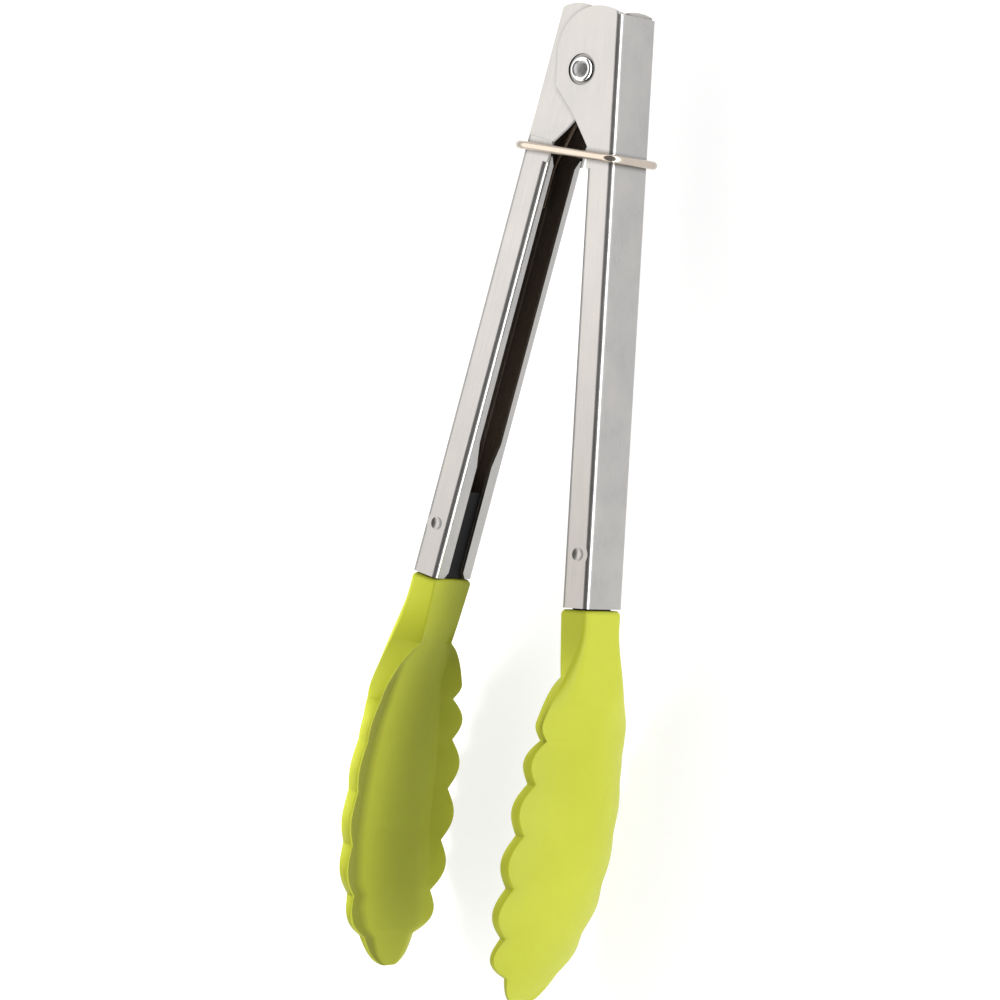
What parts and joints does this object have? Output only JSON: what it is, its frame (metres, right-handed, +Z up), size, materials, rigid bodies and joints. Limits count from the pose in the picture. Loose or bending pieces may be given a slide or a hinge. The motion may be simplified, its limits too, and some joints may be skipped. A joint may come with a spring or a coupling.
{
  "type": "locking kitchen tongs",
  "caption": "Spring-loaded kitchen tongs with steel channel arms, a wire lock ring and scalloped silicone scoop heads.",
  "frame": {"origin": "centre of the hollow rivet, half way along it", "axes": "tongs lying on their side: +Z up along the rivet, +Y along the centre line from the heads to the pivot, +X across the opening towards the outer arm"},
  "size_m": [0.0652, 0.2427, 0.0436],
  "materials": {
    "arm_steel": "fine satin, grain along the arm",
    "rivet_steel": "polished",
    "spring_wire": "drawn wire",
    "ring_wire": "polished, slightly warm",
    "core_nylon": "moulded",
    "silicone": "matte silicone"
  },
  "bodies": {
    "outer_side": {"outer_arm": "arm_steel", "pivot_rivet": "rivet_steel", "torsion_spring": "spring_wire", "outer_head_core": "core_nylon", "outer_head_cover": "silicone"},
    "inner_side": {"inner_arm": "arm_steel", "inner_head_core": "core_nylon", "inner_head_cover": "silicone"},
    "ring": {"lock_ring": "ring_wire"}
  },
  "joints": [
    {"name": "arm_pivot", "type": "hinge", "parent": "outer_side", "child": "inner_side", "pos_m": [0, 0, 0], "axis": [0, 0, 1], "range_deg": [0, 9.6], "stiffness_Nm_per_rad": 0.6, "springref_deg": -28.65, "deforming": ["torsion_spring"]},
    {"name": "ring_slide", "type": "slide", "parent": "outer_side", "child": "ring", "axis": [0.1115, -0.9938, 0], "range_m": [0, 0.028]}
  ],
  "couplings": [
    {"joint": "ring_slide", "follows": "arm_pivot", "m_per_rad": 0.16711}
  ]
}
